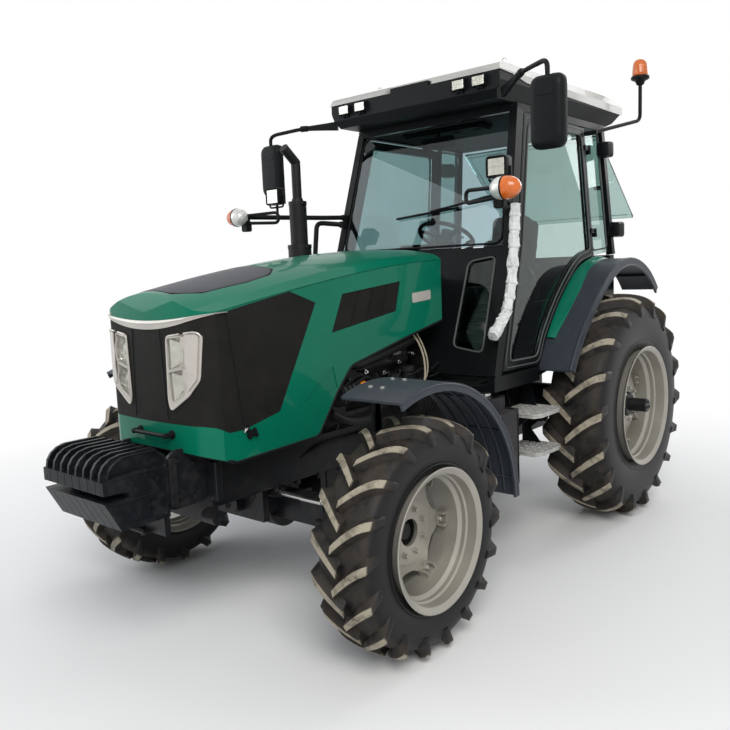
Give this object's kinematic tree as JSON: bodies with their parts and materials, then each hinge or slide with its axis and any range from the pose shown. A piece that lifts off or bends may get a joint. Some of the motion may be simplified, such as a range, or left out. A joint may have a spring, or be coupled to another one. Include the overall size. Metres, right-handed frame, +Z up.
{
  "type": "farm tractor",
  "caption": "Cab farm tractor with steered front wheels, lug tyres, tilting bonnet, front suitcase weights, glazed doors and a rear three-point hitch.",
  "frame": {"origin": "on the ground under the middle of the tractor's bounding box", "axes": "+Z up, the nose points to -Y, +Y is the rear with the power take-off, +X is the driver's left"},
  "size_m": [2.54, 4.727, 3.238],
  "materials": {
    "black_iron": "satin black paint on castings and plate",
    "weight_iron": "black painted cast iron",
    "engine_paint": "dark painted casting",
    "bright_steel": "bare ground steel",
    "guard_black": "moulded dark plastic",
    "tyre": "black rubber with brown dust on the lugs",
    "rim_silver": "silver-grey paint",
    "green_paint": "glossy deep green paint",
    "grille_black": "black woven mesh",
    "lamp_glass": "clear lens over a bright reflector",
    "cab_black": "semi-gloss black paint",
    "cab_glass": "green-tinted safety glass",
    "roof_silver": "silver-grey moulded roof",
    "trim_black": "black moulded plastic",
    "amber_lens": "amber lens on a black base",
    "wrapped_rail": "rail wrapped in white film",
    "tank_black": "dark moulded plastic",
    "step_tread": "pale perforated tread on black brackets",
    "exhaust_black": "heat-proof black paint",
    "seat_fabric": "dark woven cover over foam"
  },
  "bodies": {
    "tractor": {"front_frame": "black_iron", "front_weights": "weight_iron", "engine_block": "engine_paint", "driveline": "black_iron", "front_axle": "black_iron", "cab_frame": "cab_black", "cab_floor": "cab_black", "cab_front": "cab_black", "windscreen": "cab_glass", "side_glass": "cab_glass", "rear_window": "cab_glass", "roof": "roof_silver", "roof_visor": "trim_black", "rear_fender_left": "guard_black", "rear_fender_right": "guard_black", "mirrors": "trim_black", "lamp_arms": "trim_black", "beacon": "amber_lens", "grab_rails": "wrapped_rail", "fuel_tanks": "tank_black", "steps": "step_tread", "exhaust": "exhaust_black", "seat": "seat_fabric", "dashboard": "trim_black"},
    "bonnet": {"bonnet": "green_paint", "grille": "grille_black", "headlights": "lamp_glass"},
    "knuckle_left": {"knuckle_left": "black_iron", "front_fender_left": "guard_black"},
    "knuckle_right": {"knuckle_right": "black_iron", "front_fender_right": "guard_black"},
    "front_wheel_left": {"front_tyre_left": "tyre", "front_rim_left": "rim_silver"},
    "front_wheel_right": {"front_tyre_right": "tyre", "front_rim_right": "rim_silver"},
    "rear_wheel_left": {"rear_tyre_left": "tyre", "rear_rim_left": "rim_silver"},
    "rear_wheel_right": {"rear_tyre_right": "tyre", "rear_rim_right": "rim_silver"},
    "steering_rod": {"steering_rod": "bright_steel"},
    "steering_wheel": {"steering_wheel": "trim_black"},
    "door_left": {"door_frame_left": "cab_black", "door_glass_left": "cab_glass"},
    "door_right": {"door_frame_right": "cab_black", "door_glass_right": "cab_glass"},
    "lower_links": {"lower_links": "black_iron"},
    "lift_arms": {"lift_arms": "black_iron"},
    "lift_rods": {"lift_rods": "black_iron"},
    "top_link": {"top_link": "black_iron"},
    "pto_shaft": {"pto_shaft": "bright_steel"}
  },
  "joints": [
    {"name": "steer_left", "type": "hinge", "parent": "tractor", "child": "knuckle_left", "pos_m": [0.7, -1.25, 0.55], "axis": [0, 0, 1], "range_deg": [-40, 40]},
    {"name": "steer_right", "type": "hinge", "parent": "tractor", "child": "knuckle_right", "pos_m": [-0.7, -1.25, 0.55], "axis": [0, 0, 1], "range_deg": [-40, 40]},
    {"name": "steering_rod_slide", "type": "slide", "parent": "tractor", "child": "steering_rod", "axis": [1, 0, 0], "range_m": [-0.105, 0.105]},
    {"name": "steering_wheel_turn", "type": "hinge", "parent": "tractor", "child": "steering_wheel", "pos_m": [0, 0.5, 1.965], "axis": [0, 0.5, 0.866], "range_deg": [-560, 560]},
    {"name": "front_wheel_left_spin", "type": "hinge", "parent": "knuckle_left", "child": "front_wheel_left", "pos_m": [0.965, -1.25, 0.55], "axis": [1, 0, 0], "continuous": true},
    {"name": "front_wheel_right_spin", "type": "hinge", "parent": "knuckle_right", "child": "front_wheel_right", "pos_m": [-0.965, -1.25, 0.55], "axis": [1, 0, 0], "continuous": true},
    {"name": "rear_wheel_left_spin", "type": "hinge", "parent": "tractor", "child": "rear_wheel_left", "pos_m": [0.92, 1.2, 0.765], "axis": [1, 0, 0], "continuous": true},
    {"name": "rear_wheel_right_spin", "type": "hinge", "parent": "tractor", "child": "rear_wheel_right", "pos_m": [-0.92, 1.2, 0.765], "axis": [1, 0, 0], "continuous": true},
    {"name": "door_left_hinge", "type": "hinge", "parent": "tractor", "child": "door_left", "pos_m": [0.721, 1.325, 1.9], "axis": [-0.0748, 0, 0.9972], "range_deg": [0, 75]},
    {"name": "door_right_hinge", "type": "hinge", "parent": "tractor", "child": "door_right", "pos_m": [-0.721, 1.325, 1.9], "axis": [-0.0748, 0, -0.9972], "range_deg": [0, 75]},
    {"name": "bonnet_hinge", "type": "hinge", "parent": "tractor", "child": "bonnet", "pos_m": [0, -0.177, 1.838], "axis": [-1, 0, 0], "range_deg": [0, 50]},
    {"name": "lower_links_lift", "type": "hinge", "parent": "tractor", "child": "lower_links", "pos_m": [0, 1.4, 0.56], "axis": [1, 0, 0], "range_deg": [-14, 25]},
    {"name": "lift_arms_turn", "type": "hinge", "parent": "tractor", "child": "lift_arms", "pos_m": [0, 1.43, 1.05], "axis": [1, 0, 0], "range_deg": [-14, 25]},
    {"name": "lift_rods_swing", "type": "hinge", "parent": "lift_arms", "child": "lift_rods", "pos_m": [0, 1.85764, 1.00505], "axis": [1, 0, 0], "range_deg": [-25, 14]},
    {"name": "top_link_swing", "type": "hinge", "parent": "tractor", "child": "top_link", "pos_m": [0, 1.495, 0.92], "axis": [1, 0, 0], "range_deg": [-45, 25]},
    {"name": "pto_shaft_spin", "type": "hinge", "parent": "tractor", "child": "pto_shaft", "pos_m": [0, 1.44, 0.64], "axis": [0, 1, 0], "continuous": true}
  ],
  "couplings": [
    {"joint": "steer_right", "follows": "steer_left", "ratio": 1},
    {"joint": "steering_rod_slide", "follows": "steer_left", "m_per_rad": 0.15},
    {"joint": "steering_wheel_turn", "follows": "steer_left", "ratio": 14},
    {"joint": "lift_arms_turn", "follows": "lower_links_lift", "ratio": 1},
    {"joint": "lift_rods_swing", "follows": "lower_links_lift", "ratio": -1}
  ]
}
